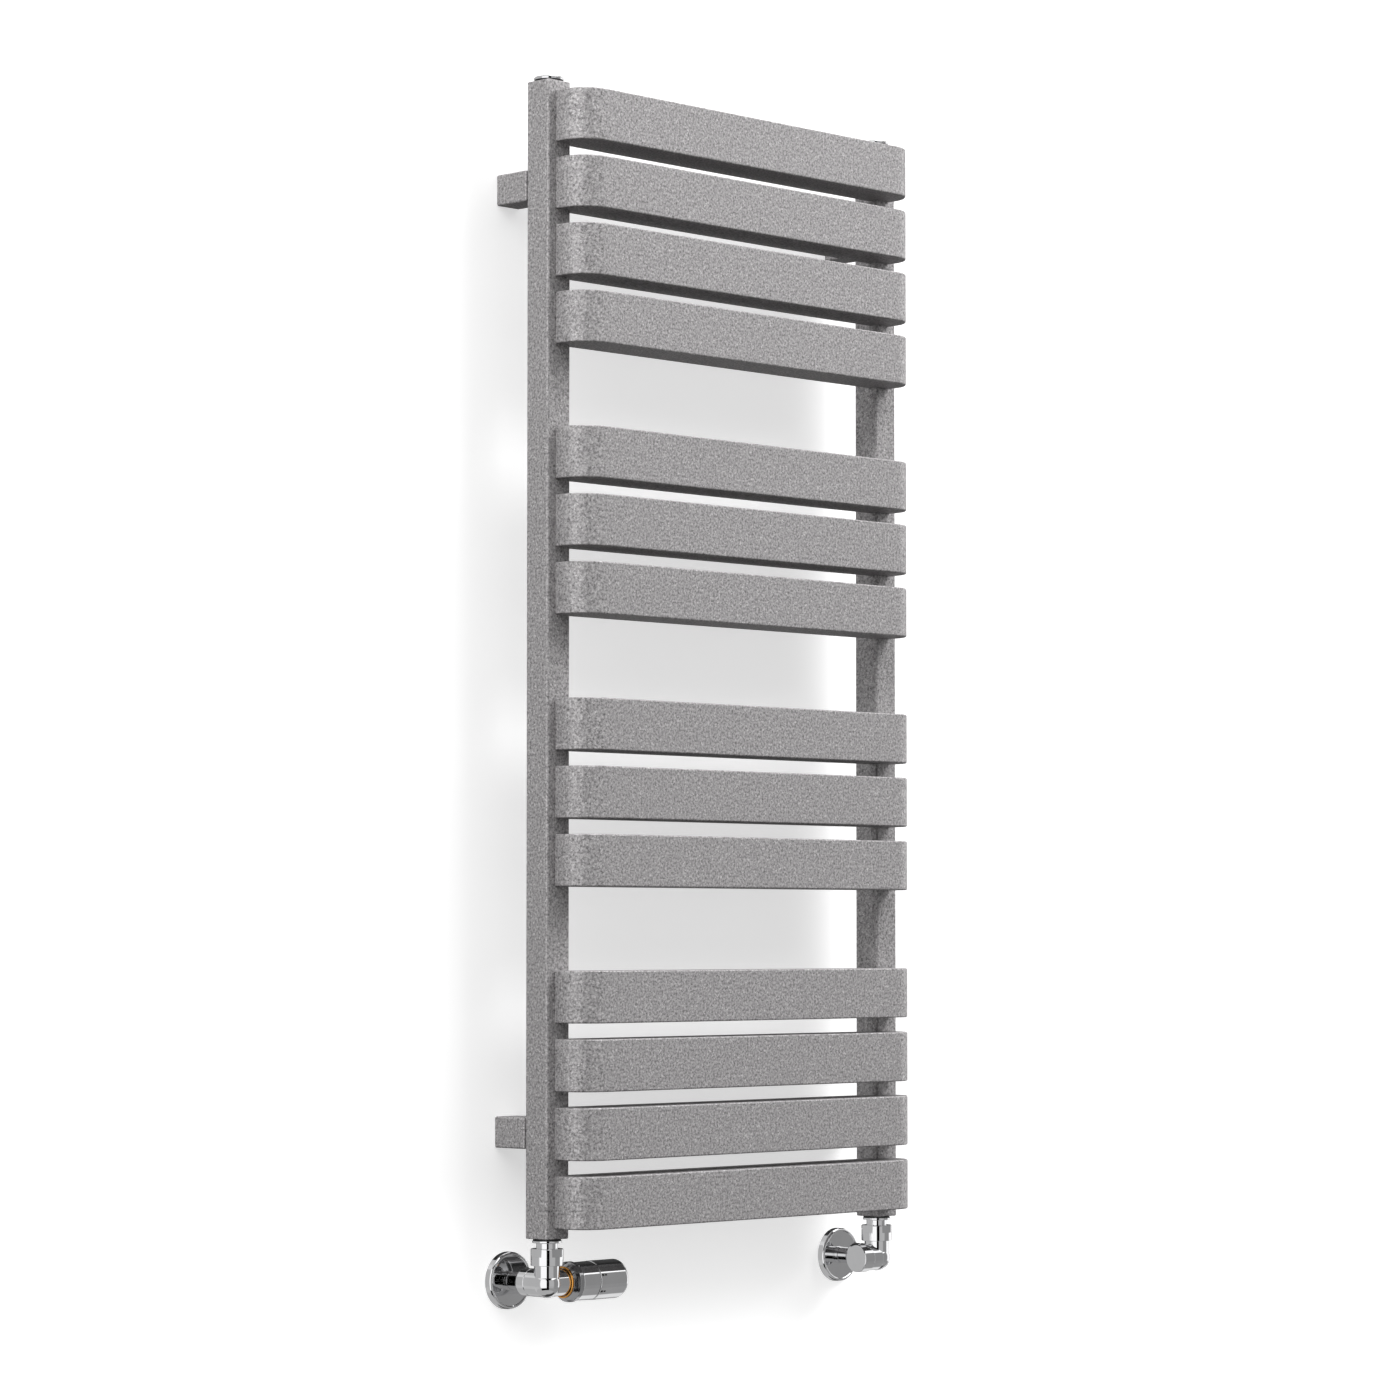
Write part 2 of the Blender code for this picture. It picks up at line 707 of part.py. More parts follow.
def lockshield(axis_x):
    axis = facing((-1, 0, 0), (axis_x, TUBE_Y, -VALVE_DROP))
    skin = 1.5 * MM
    profile = [
        (0, CAP_END, 0),
        (CAP_R, CAP_END, 1.2 * MM),
        (CAP_R, CAP_START + GAP, 0.4 * MM),
        (CAP_R - skin, CAP_START + GAP, 0),
        (CAP_R - skin, CAP_END - skin, 0),
        (0, CAP_END - skin, 0),
    ]
    turned("lockshield_cap", profile, "chrome", axis, closed=False, steps=HEAD_STEPS)

    key_r = 2.5 * MM
    profile = [
        (0, 26 * MM, 0),
        (4.7 * MM, 26 * MM, 0.5 * MM),
        (4.7 * MM, 4 * MM, 0.5 * MM),
        (0, 2 * MM, 0),
    ]
    spindle = turned("lockshield_spindle", profile, "brass", axis, closed=False, steps=RING_STEPS)
    socket = rod_mesh("socket", key_r, 21 * MM, 30 * MM, steps=6)
    boolean(spindle, add_cutter("key_socket", socket, axis))


# ---------------------------------------------------------------- assembly


def valves():
    for side, sign in SIDES:
        axis_x = sign * TUBE_X
        tail(side, axis_x)
        union_nut(side, axis_x)
        pipe_fittings(side, axis_x)
    valve_body("left", -TUBE_X, 1, PORT_R_HEAD, PORT_END, 8 * MM + GAP)
    thermostatic_head(-TUBE_X)
    valve_body("right", TUBE_X, -1, PORT_R_CAP, CAP_START, 5 * MM, neck_end=CAP_NECK_END)
    lockshield(TUBE_X)


SIDES = (("left", -1), ("right", 1))
clear_scene()
PARTS = new_collection("radiator_with_valve")
CUTTERS = new_collection("cutters")
collectors()
collector_caps()
bars()
brackets()
top_fittings()
valves()
for part in PARTS.objects:
    if part.modifiers and part.modifiers[0].type != "SCREW":
        shade(part)
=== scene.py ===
import json
import math

import bmesh
import bpy
from mathutils import Matrix, Vector


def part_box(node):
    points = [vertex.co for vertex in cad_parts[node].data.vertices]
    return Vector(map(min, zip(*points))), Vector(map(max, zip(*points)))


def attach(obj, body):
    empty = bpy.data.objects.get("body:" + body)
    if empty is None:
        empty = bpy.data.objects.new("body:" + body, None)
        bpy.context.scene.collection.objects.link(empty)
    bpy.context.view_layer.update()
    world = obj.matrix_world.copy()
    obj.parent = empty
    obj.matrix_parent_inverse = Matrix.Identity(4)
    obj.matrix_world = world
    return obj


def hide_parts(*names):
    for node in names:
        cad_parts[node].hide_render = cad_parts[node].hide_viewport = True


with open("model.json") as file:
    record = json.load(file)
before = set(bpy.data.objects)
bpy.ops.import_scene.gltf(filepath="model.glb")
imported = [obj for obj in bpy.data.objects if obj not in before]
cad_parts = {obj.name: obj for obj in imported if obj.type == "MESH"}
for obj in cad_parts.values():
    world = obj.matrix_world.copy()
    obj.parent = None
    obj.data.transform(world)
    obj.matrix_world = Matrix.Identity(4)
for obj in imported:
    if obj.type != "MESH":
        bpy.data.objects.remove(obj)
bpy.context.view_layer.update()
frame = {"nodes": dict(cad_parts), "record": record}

# Looks for the wall-hung ladder radiator with its angled thermostatic valve and lockshield valve.
# Each fine piece below stands for one CAD node, and is built at that node's place and size.

MM = 0.001
GAP = 0.3 * MM
SIDES = ("left", "right")
NODES = frame["nodes"]
BODY_OF = {
    node: body
    for body, members in frame["record"]["behaviour"]["bodies"].items()
    for node in members
}


# ---------------------------------------------------------------- places read from the CAD nodes


def middle(node):
    low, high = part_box(node)
    return (low + high) / 2


def facing(axis, origin):
    """A placement whose local +Z points along axis."""
    turn = Vector((0, 0, 1)).rotation_difference(Vector(axis))
    return Matrix.Translation(Vector(origin)) @ turn.to_matrix().to_4x4()


COLLECTOR_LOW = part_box("collector_left")[0].z
COLLECTOR_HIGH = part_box("collector_left")[1].z
TUBE_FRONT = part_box("collector_left")[0].y
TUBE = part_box("collector_left")[1].y - TUBE_FRONT
TUBE_Y = TUBE_FRONT + TUBE / 2
VALVE_Z = middle("rosette_left").z
AXIS_X = {side: middle(f"collector_{side}").x for side in SIDES}
TUBE_REACH = AXIS_X["right"]
UPRIGHT = {side: Matrix.Translation((AXIS_X[side], TUBE_Y, COLLECTOR_LOW)) for side in SIDES}
TO_WALL = {side: facing((0, 1, 0), (AXIS_X[side], TUBE_Y, VALVE_Z)) for side in SIDES}
HEAD_AXIS = facing((1, 0, 0), (AXIS_X["left"], TUBE_Y, VALVE_Z))
CAP_AXIS = facing((-1, 0, 0), (AXIS_X["right"], TUBE_Y, VALVE_Z))


# ---------------------------------------------------------------- node materials


class Nodes:
    """Short ways to add nodes to a node tree."""

    def __init__(self, tree):
        self.tree = tree

    def node(self, kind, **inputs):
        made = self.tree.nodes.new(kind)
        for name, value in inputs.items():
            self.feed(made.inputs[name.replace("_", " ")], value)
        return made

    def feed(self, socket, value):
        if isinstance(value, bpy.types.NodeSocket):
            self.tree.links.new(value, socket)
        else:
            socket.default_value = value

    def maths(self, operation, *values):
        made = self.node("ShaderNodeMath")
        made.operation = operation
        for socket, value in zip(made.inputs, values):
            self.feed(socket, value)
        return made.outputs[0]

    def mix(self, factor, first, second):
        """Between two numbers."""
        made = self.node("ShaderNodeMix")
        made.data_type = "FLOAT"
        for index, value in ((0, factor), (2, first), (3, second)):
            self.feed(made.inputs[index], value)
        return made.outputs[0]

    def blend(self, factor, first, second):
        """Between two colours."""
        made = self.node("ShaderNodeMix")
        made.data_type = "RGBA"
        for index, value in ((0, factor), (6, first), (7, second)):
            self.feed(made.inputs[index], value)
        return made.outputs[2]

    def choose(self, factor, first, second):
        """Between two shaders."""
        made = self.node("ShaderNodeMixShader")
        for socket, value in zip(made.inputs, (factor, first, second)):
            self.feed(socket, value)
        return made.outputs[0]

    def ramp(self, value, stops):
        """A brightness that follows a value from 0 to 1."""
        made = self.node("ShaderNodeValToRGB", Fac=value)
        elements = made.color_ramp.elements
        while len(elements) > 1:
            elements.remove(elements[-1])
        for i, (at, bright) in enumerate(stops):
            element = elements[0] if i == 0 else elements.new(at)
            element.position = at
            element.color = (bright, bright, bright, 1)
        return made.outputs[0]


class Shader(Nodes):
    """A Principled material with the textures that the finishes are made from."""

    def __init__(self, name):
        self.material = bpy.data.materials.new(name)
        self.material.use_nodes = True
        super().__init__(self.material.node_tree)
        self.surface = self.tree.nodes["Principled BSDF"]
        self.place = self.node("ShaderNodeTexCoord").outputs["Object"]

    def noise(self, scale, detail=2.0, roughness=0.5, stretch=None):
        place = self.place
        if stretch is not None:
            place = self.node("ShaderNodeMapping", Vector=place, Scale=stretch).outputs[0]
        texture = {"Scale": scale, "Detail": detail, "Roughness": roughness}
        return self.node("ShaderNodeTexNoise", Vector=place, **texture).outputs[0]

    def cells(self, scale):
        """A random grey value for each small cell, such as a metal flake."""
        made = self.node("ShaderNodeTexVoronoi", Vector=self.place, Scale=scale)
        return self.node("ShaderNodeSeparateColor", Color=made.outputs["Color"]).outputs[0]

    def span(self, value, low, high, to_low, to_high):
        made = self.node("ShaderNodeMapRange", Value=value)
        for socket, number in zip(made.inputs[1:5], (low, high, to_low, to_high)):
            socket.default_value = number
        return made.outputs[0]

    def bump(self, height, strength, distance):
        made = self.node("ShaderNodeBump", Height=height, Strength=strength, Distance=distance)
        self.set(Normal=made.outputs[0])

    def set(self, **inputs):
        for name, value in inputs.items():
            self.feed(self.surface.inputs[name.replace("_", " ")], value)


def coat():
    """Silver-grey textured powder coat: fine grain, bright metal flakes and a slight orange peel."""
    made = Shader("coat_powder_silver")
    grain = made.noise(420, detail=3, roughness=0.7)
    tone = made.span(grain, 0.30, 0.70, 0.0, 1.0)
    base = made.blend(tone, (0.120, 0.117, 0.118, 1), (0.614, 0.595, 0.602, 1))
    flakes = made.span(made.cells(760), 0.90, 1.0, 0.0, 0.75)
    base = made.blend(flakes, base, (0.72, 0.705, 0.71, 1))
    drift = made.span(made.noise(4.5, detail=1), 0.3, 0.7, 0.0, 0.10)
    base = made.blend(drift, base, (0.33, 0.322, 0.32, 1))
    rough = made.maths("ADD", made.span(grain, 0.3, 0.7, 0.46, 0.40), made.span(flakes, 0, 1, 0, -0.06))
    made.set(Base_Color=base, Roughness=rough, Metallic=0.45, Specular_IOR_Level=0.2)
    made.set(Specular_Tint=(0.25, 0.25, 0.25, 1))
    peel = made.noise(160, detail=1)
    height = made.maths("ADD", grain, made.maths("MULTIPLY", peel, 0.8))
    made.bump(height, 0.10, 0.12 * MM)
    return made.material


def chrome(name="chrome_polished", tint=(0.80, 0.80, 0.81), gloss=0.03):
    """Chrome plate with faint smears, specks of dust and a slight waviness."""
    made = Shader(name)
    smears = made.noise(38, detail=3, roughness=0.6, stretch=(1, 1, 0.35))
    dust = made.span(made.cells(1500), 0.965, 1.0, 0.0, 0.10)
    rough = made.maths("ADD", made.span(smears, 0.35, 0.75, gloss, gloss + 0.045), dust)
    darker = tuple(0.93 * c for c in tint)
    base = made.blend(made.span(smears, 0.3, 0.7, 0.0, 1.0), (*tint, 1), (*darker, 1))
    made.set(Base_Color=base, Roughness=rough, Metallic=1.0)
    made.bump(made.noise(85, detail=1), 0.25, 0.02 * MM)
    return made.material


def metal(name, tint, gloss, dulled=0.72):
    """Machined metal with fine turning lines."""
    made = Shader(name)
    marks = made.noise(900, detail=2)
    rough = made.span(marks, 0.3, 0.7, gloss, gloss + 0.14)
    darker = tuple(dulled * c for c in tint)
    base = made.blend(made.span(made.noise(140, detail=3), 0.35, 0.7, 0, 1), (*tint, 1), (*darker, 1))
    made.set(Base_Color=base, Roughness=rough, Metallic=1.0)
    made.bump(marks, 0.2, 0.03 * MM)
    return made.material


def rubber():
    """Matt black rubber with a fine grain."""
    made = Shader("rubber_black")
    grain = made.noise(700, detail=2)
    base = made.blend(made.span(grain, 0.3, 0.7, 0, 1), (0.012, 0.012, 0.013, 1), (0.035, 0.035, 0.036, 1))
    made.set(Base_Color=base, Roughness=made.span(grain, 0.3, 0.7, 0.55, 0.8))
    made.bump(grain, 0.3, 0.05 * MM)
    return made.material


def paint():
    """Nearly black printing on the handle."""
    made = Shader("mark_paint_dark")
    grain = made.noise(1800, detail=2)
    base = made.blend(made.span(grain, 0.3, 0.7, 0, 1), (0.010, 0.010, 0.011, 1), (0.03, 0.03, 0.03, 1))
    made.set(Base_Color=base, Roughness=made.span(grain, 0.3, 0.7, 0.5, 0.7), Specular_IOR_Level=0.2)
    return made.material


FINISH = {
    "coat": coat(),
    "chrome": chrome(),
    "steel": metal("steel_zinc_plated", (0.55, 0.55, 0.57), 0.28),
    "brass": metal("brass_turned", (0.74, 0.54, 0.26), 0.20),
    "copper": metal("copper_ring_lacquered", (0.90, 0.43, 0.10), 0.10, dulled=0.92),
    "rubber": rubber(),
    "wax_cell": metal("wax_cell_alloy", (0.62, 0.60, 0.57), 0.32),
}
# The head's collar is chrome with a satin surface.
SATIN = chrome("chrome_satin", (0.50, 0.50, 0.51), 0.13)
PAINT = paint()


# ---------------------------------------------------------------- meshes

SHARP_ANGLE = 30


def added(name, data):
    """A new object in the scene that holds this mesh, lamp or camera."""
    obj = bpy.data.objects.new(name, data)
    bpy.context.scene.collection.objects.link(obj)
    return obj


def add_piece(name, verts, faces, weighted=True):
    """A closed mesh in the row frame, smooth but for its sharp edges."""
    bm = bmesh.new()
    made = [bm.verts.new(v) for v in verts]
    for face in faces:
        bm.faces.new([made[i] for i in face])
    bmesh.ops.remove_doubles(bm, verts=bm.verts[:], dist=2e-7)
    bmesh.ops.dissolve_degenerate(bm, dist=1e-7, edges=bm.edges[:])
    bmesh.ops.recalc_face_normals(bm, faces=bm.faces[:])
    mesh = bpy.data.meshes.new(name)
    bm.to_mesh(mesh)
    bm.free()
    mesh.shade_smooth()
    mesh.set_sharp_from_angle(angle=math.radians(SHARP_ANGLE))
    obj = added(name, mesh)
    if weighted:
        weigh_normals(obj)
    return obj


def weigh_normals(obj):
    """Keeps the flat faces flat beside their rounded edges."""
    change = obj.modifiers.new("flat_faces", "WEIGHTED_NORMAL")
    change.mode = "FACE_AREA"
    change.keep_sharp = True


def stand_for(obj, finish, *nodes):
    """Gives a piece its finish, and puts it in the place of these CAD nodes."""
    obj.data.materials.clear()
    obj.data.materials.append(FINISH[finish])
    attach(obj, BODY_OF[nodes[0]])
    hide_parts(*nodes)
    return obj


def lofted(name, loops, closed=False):
    """A skin over rings of points. Its two ends are flat faces, unless the last ring joins the first."""
    count = len(loops[0])
    verts = [point for loop in loops for point in loop]
    pairs = len(loops) if closed else len(loops) - 1
    faces = []
    for i in range(pairs):
        a, b = i * count, (i + 1) % len(loops) * count
        for j in range(count):
            k = (j + 1) % count
            faces.append((a + j, a + k, b + k, b + j))
    if not closed:
        faces.append(tuple(reversed(range(count))))
        faces.append(tuple(range((len(loops) - 1) * count, len(loops) * count)))
    return add_piece(name, verts, faces)


def arc(cx, cy, radius, start, end, steps):
    """Points on an arc between two angles in degrees."""
    angles = [math.radians(start + (end - start) * i / steps) for i in range(steps + 1)]
    return [(cx + radius * math.cos(a), cy + radius * math.sin(a)) for a in angles]


def square_outline(side, corner):
    """A square with rounded corners."""
    reach = side / 2 - corner
    turns = ((reach, reach, 0), (-reach, reach, 90), (-reach, -reach, 180), (reach, -reach, 270))
    return [p for x, y, start in turns for p in arc(x, y, corner, start, start + 90, 8)]


def rounding(edge, steps):
    """(inset, distance from the end) down a rounded edge, from the end face outwards."""
    turns = [math.pi / 2 * i / steps for i in range(steps + 1)]
    return [(edge * (1 - math.sin(t)), edge * (1 - math.cos(t))) for t in turns]


def softened(points, closed):
    """Plain (r, z) points for a profile of (r, z, fillet) points, with an arc where a fillet is given."""
    count = len(points)
    out = []
    for i, (r, z, fillet) in enumerate(points):
        if fillet == 0 or (not closed and i in (0, count - 1)):
            out.append((r, z))
            continue
        here = Vector((r, z))
        back = (Vector(points[i - 1][:2]) - here).normalized()
        ahead = (Vector(points[(i + 1) % count][:2]) - here).normalized()
        half = back.angle(ahead) / 2
        start = here + back * fillet / math.tan(half)
        end = here + ahead * fillet / math.tan(half)
        centre = here + (back + ahead).normalized() * fillet / math.sin(half)
        steps = 4 if fillet < 1 * MM else 10
        for k in range(steps + 1):
            spoke = (start - centre).lerp(end - centre, k / steps).normalized()
            out.append(tuple(centre + spoke * fillet))
    return out


ROUND_STEPS = 96


def turned(node, profile, finish, place, closed=True):
    """A turned piece for a CAD node. Its (r, z, fillet) profile closes on itself or on the axis."""
    points = softened(profile, closed)
    count = len(points)
    verts = []
    for k in range(ROUND_STEPS):
        a = 2 * math.pi * k / ROUND_STEPS
        verts += [place @ Vector((r * math.cos(a), r * math.sin(a), z)) for r, z in points]
    faces = []
    for k in range(ROUND_STEPS):
        a, b = k * count, (k + 1) % ROUND_STEPS * count
        for i in range(count if closed else count - 1):
            j = (i + 1) % count
            faces.append((a + i, a + j, b + j, b + i))
    return stand_for(add_piece(f"{node}_skin", verts, faces), finish, node)


# ---------------------------------------------------------------- radiator body

BAR_COUNT = 14
BAR_CORNER = 30 * MM
BAR_EDGE = 1.5 * MM
TUBE_EDGE = 2.5 * MM
TUBE_END_EDGE = 1.2 * MM


def bar_outline(low, high, inset):
    """A bar from above: rounded front corners, and a back that fits between the collectors."""
    half = high.x - inset
    front = low.y + inset
    shoulder = TUBE_FRONT - GAP - inset
    back = high.y - inset
    neck = TUBE_REACH - TUBE / 2 - GAP - inset
    corner = BAR_CORNER - inset
    left = arc(-half + corner, front + corner, corner, 180, 270, 28)
    right = arc(half - corner, front + corner, corner, 270, 360, 28)
    rear = [(half, shoulder), (neck, shoulder), (neck, back)]
    return left + right + rear + [(-x, y) for x, y in reversed(rear)]


def bars():
    """The wide heating bars, with every edge rounded."""
    for number in range(1, BAR_COUNT + 1):
        node = f"bar_{number:02d}"
        low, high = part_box(node)
        edge = rounding(BAR_EDGE, 4)
        loops = []
        for inset, off in edge:
            loops.append([(x, y, low.z + off) for x, y in bar_outline(low, high, inset)])
        for inset, off in reversed(edge):
            loops.append([(x, y, high.z - off) for x, y in bar_outline(low, high, inset)])
        stand_for(lofted(f"{node}_skin", loops), "coat", node)


def collectors():
    """Each collector with its two end plates, which are welded in and ground flush."""
    for side in SIDES:
        edge = rounding(TUBE_END_EDGE, 4)
        ends = [(inset, COLLECTOR_LOW + off) for inset, off in edge]
        ends += [(inset, COLLECTOR_HIGH - off) for inset, off in reversed(edge)]
        loops = []
        for inset, z in ends:
            outline = square_outline(TUBE - 2 * inset, TUBE_EDGE - inset)
            loops.append([(AXIS_X[side] + x, TUBE_Y + y, z) for x, y in outline])
        nodes = (f"collector_{side}", f"collector_cap_top_{side}", f"collector_cap_bottom_{side}")
        stand_for(lofted(f"collector_{side}_skin", loops), "coat", *nodes)


def bracket_sleeves():
    """The square blocks between the collectors and the wall, each with a pocket for its base."""
    edge = 2 * MM
    pocket = 26.6 * MM
    for side in SIDES:
        for level in ("lower", "upper"):
            node = f"bracket_sleeve_{level}_{side}"
            low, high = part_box(node)
            centre = (low + high) / 2
            rings = [(TUBE - 2 * i, edge - i, low.y + off) for i, off in rounding(edge, 6)]
            rings += [(TUBE - 2 * i, edge - i, high.y - off) for i, off in reversed(rounding(0.5 * MM, 3))]
            rings += [(pocket, 0.4 * MM, high.y), (pocket, 0.4 * MM, low.y + 1.5 * MM)]
            loops = [
                [(centre.x + x, y, centre.z + z) for x, z in square_outline(width, corner)]
                for width, corner, y in rings
            ]
            stand_for(lofted(f"{node}_skin", loops), "coat", node)


# ---------------------------------------------------------------- fittings

THREAD_R = 10 * MM
THREAD_HOLE_R = 10.3 * MM
FLANGE_R = 14.2 * MM
SEAL_R = 13.5 * MM
SEAL_THICK = 1.2 * MM
PLUG_SEAL_THICK = 1 * MM
PLUG_FLANGE_THICK = 2.8 * MM
VENT_R = 3 * MM
NECK_R = 10.3 * MM
NUT_R = 15.6 * MM
NUT_FLAT = 28 * MM
NUT_FLAT_HEIGHT = 7.6 * MM
NUT_TOP = -9.2 * MM
NUT_HEIGHT = 16.1 * MM
NUT_LIP_THICK = 4 * MM
TAIL_LENGTH = 20 * MM
BODY_R = 12.4 * MM
ELBOW_R = 13.7 * MM
ARM_R = 13.3 * MM
BORE_R = 7.5 * MM
PIPE_END = 19 * MM
PIPE_NUT_LENGTH = 12.3 * MM
SLEEVE_R = 8.4 * MM
SLEEVE_BORE_R = 7.7 * MM
ROSETTE_R = 27.5 * MM
ROSETTE_DEPTH = 8 * MM


def seal(node, low, thick, place):
    """A flat ring with rounded edges."""
    edge = thick * 0.35
    profile = [
        (THREAD_R + GAP, low + thick, 0),
        (SEAL_R, low + thick, edge),
        (SEAL_R, low, edge),
        (THREAD_R + GAP, low, 0),
    ]
    turned(node, profile, "rubber", place)


def top_fittings():
    """The blank plug and the vent plug, each on its seal."""
    low = GAP + PLUG_SEAL_THICK + GAP
    high = low + PLUG_FLANGE_THICK
    bottom = -12 * MM
    for side, kind, bore in (("left", "blank", 0), ("right", "vent", VENT_R + GAP)):
        place = Matrix.Translation((AXIS_X[side], TUBE_Y, COLLECTOR_HIGH))
        profile = [
            (bore, high, 0),
            (FLANGE_R, high, 1.2 * MM),
            (FLANGE_R, low, 0.15 * MM),
            (THREAD_R, low, 0),
            (THREAD_R, bottom, 0.8 * MM),
            (bore, bottom, 0),
        ]
        turned(f"{kind}_plug", profile, "chrome", place, closed=bore > 0)
        seal(f"{kind}_plug_seal", GAP, PLUG_SEAL_THICK, place)


def tails():
    """The threaded tails in the collectors' lower ends, and the seals under their flanges."""
    for side in SIDES:
        seal_low = -GAP - SEAL_THICK
        seal(f"tail_seal_{side}", seal_low, SEAL_THICK, UPRIGHT[side])
        flange_top = seal_low - GAP
        flange_low = flange_top - 2 * MM
        lip_top = NUT_TOP - NUT_LIP_THICK - GAP
        lip_r = BODY_R - 0.4 * MM
        profile = [
            (BORE_R, 10 * MM, 0),
            (THREAD_R, 10 * MM, 0.8 * MM),
            (THREAD_R, flange_top, 0),
            (FLANGE_R, flange_top, 0.2 * MM),
            (FLANGE_R, flange_low, 0.6 * MM),
            (NECK_R, flange_low, 0.5 * MM),
            (NECK_R, lip_top, 0),
            (lip_r, lip_top, 0),
            (lip_r, -TAIL_LENGTH, 0),
            (BORE_R, -TAIL_LENGTH, 0),
        ]
        turned(f"tail_{side}", profile, "chrome", UPRIGHT[side])


def union_nuts():
    """The big nuts. Four flats are milled into the upper half of each one."""
    reach = NUT_FLAT / 2
    half_flat = math.degrees(math.acos(reach / NUT_R))
    flat_steps, round_steps = 14, 10
    angles = []
    for start in (0, 90, 180, 270):
        angles += [start - half_flat + 2 * half_flat * i / flat_steps for i in range(flat_steps)]
        between = 90 - 2 * half_flat
        angles += [start + half_flat + between * i / round_steps for i in range(round_steps)]
    low = NUT_TOP - NUT_HEIGHT
    ledge = NUT_TOP - NUT_FLAT_HEIGHT
    rings = [(NECK_R + GAP, NUT_TOP, False)]
    rings += [(NUT_R - inset, NUT_TOP - off, True) for inset, off in rounding(0.9 * MM, 5)]
    rings += [(NUT_R, ledge, True), (NUT_R, ledge, False)]
    rings += [(NUT_R - inset, low + off, False) for inset, off in reversed(rounding(0.5 * MM, 4))]
    rings += [
        (BODY_R + GAP, low, False),
        (BODY_R + GAP, NUT_TOP - NUT_LIP_THICK, False),
        (NECK_R + GAP, NUT_TOP - NUT_LIP_THICK, False),
    ]
    for side in SIDES:
        loops = []
        for radius, z, milled in rings:
            loop = []
            for angle in angles:
                x, y = radius * math.cos(math.radians(angle)), radius * math.sin(math.radians(angle))
                if milled:
                    x, y = max(-reach, min(reach, x)), max(-reach, min(reach, y))
                loop.append(UPRIGHT[side] @ Vector((x, y, z)))
            loops.append(loop)
        node = f"union_nut_{side}"
        stand_for(lofted(f"{node}_skin", loops, closed=True), "chrome", node)


def pipe_fittings():
    """The pipe nut, the cover sleeve and the rosette, on each axis that runs into the wall."""
    start = PIPE_END + GAP
    end = PIPE_END + PIPE_NUT_LENGTH
    seat = PIPE_END + 9 * MM
    wall = -TUBE_Y
    face = wall - ROSETTE_DEPTH
    dish = face + 1 * MM
    collar = face - 1.8 * MM
    collar_r = SLEEVE_R + 0.65 * MM
    skin = 1.2 * MM
    rim = ROSETTE_R - 2.6 * MM
    nut = [
        (SLEEVE_R, end, 0.15 * MM),
        (ARM_R - 0.9 * MM, end, 0.4 * MM),
        (ARM_R, end - 2 * MM, 0.8 * MM),
        (ARM_R, start, 1 * MM),
        (THREAD_HOLE_R, start, 0),
        (THREAD_HOLE_R, seat, 0),
        (SLEEVE_R, seat, 0),
    ]
    sleeve = [
        (SLEEVE_BORE_R, collar - GAP, 0),
        (SLEEVE_R, collar - GAP, 0.12 * MM),
        (SLEEVE_R, end + GAP, 0.12 * MM),
        (SLEEVE_BORE_R, end + GAP, 0),
    ]
    rosette = [
        (ROSETTE_R - skin, wall, 0),
        (ROSETTE_R, wall, 0.2 * MM),
        (ROSETTE_R, face, 2.4 * MM),
        (rim, face, 0.6 * MM),
        (rim - 0.8 * MM, dish, 0.5 * MM),
        (collar_r, dish, 0.1 * MM),
        (collar_r, collar, 0.15 * MM),
        (SLEEVE_BORE_R, collar, 0),
        (SLEEVE_BORE_R, dish + skin, 0),
        (ROSETTE_R - skin, dish + skin, 0),
    ]
    for side in SIDES:
        turned(f"pipe_nut_{side}", nut, "chrome", TO_WALL[side])
        turned(f"pipe_sleeve_{side}", sleeve, "chrome", TO_WALL[side])
        turned(f"rosette_{side}", rosette, "chrome", TO_WALL[side])


# ---------------------------------------------------------------- valve bodies

ROD_RING_SPACING = 1.2 * MM
BODY_SHARP_ANGLE = 9
PORT_END = 19 * MM
PORT_NECK_R = 11.8 * MM
CAP_START = 17 * MM


def rod(radius, low, high, place):
    """A fine cylinder with rings along it, in the row frame, for a Boolean."""
    bm = bmesh.new()
    rings = max(2, round((high - low) / ROD_RING_SPACING)) + 1
    loops = []
    for i in range(rings):
        z = low + (high - low) * i / (rings - 1)
        loop = []
        for k in range(ROUND_STEPS):
            a = 2 * math.pi * k / ROUND_STEPS
            loop.append(bm.verts.new(place @ Vector((radius * math.cos(a), radius * math.sin(a), z))))
        loops.append(loop)
    for a, b in zip(loops, loops[1:]):
        for k in range(ROUND_STEPS):
            j = (k + 1) % ROUND_STEPS
            bm.faces.new((a[k], a[j], b[j], b[k]))
    bm.faces.new(list(reversed(loops[0])))
    bm.faces.new(loops[-1])
    return shape_from(bm)


def ball(radius, place):
    """A fine ball in the row frame, for a Boolean."""
    bm = bmesh.new()
    bmesh.ops.create_uvsphere(bm, u_segments=ROUND_STEPS, v_segments=ROUND_STEPS // 2, radius=radius)
    bm.transform(place)
    return shape_from(bm)


def shape_from(bm):
    """An object that only lasts until the Booleans are done."""
    bmesh.ops.recalc_face_normals(bm, faces=bm.faces[:])
    mesh = bpy.data.meshes.new("shape")
    bm.to_mesh(mesh)
    bm.free()
    return added("shape", mesh)


def combined(base, steps):
    """The mesh that is left after adding to base, or taking from it, each shape in turn."""
    for operation, shape in steps:
        change = base.modifiers.new(operation, "BOOLEAN")
        change.operation = operation
        change.solver = "EXACT"
        change.object = shape
    bpy.context.view_layer.update()
    graph = bpy.context.evaluated_depsgraph_get()
    mesh = bpy.data.meshes.new_from_object(base.evaluated_get(graph))
    for obj in [base] + [shape for _, shape in steps]:
        bpy.data.objects.remove(obj)
    return mesh


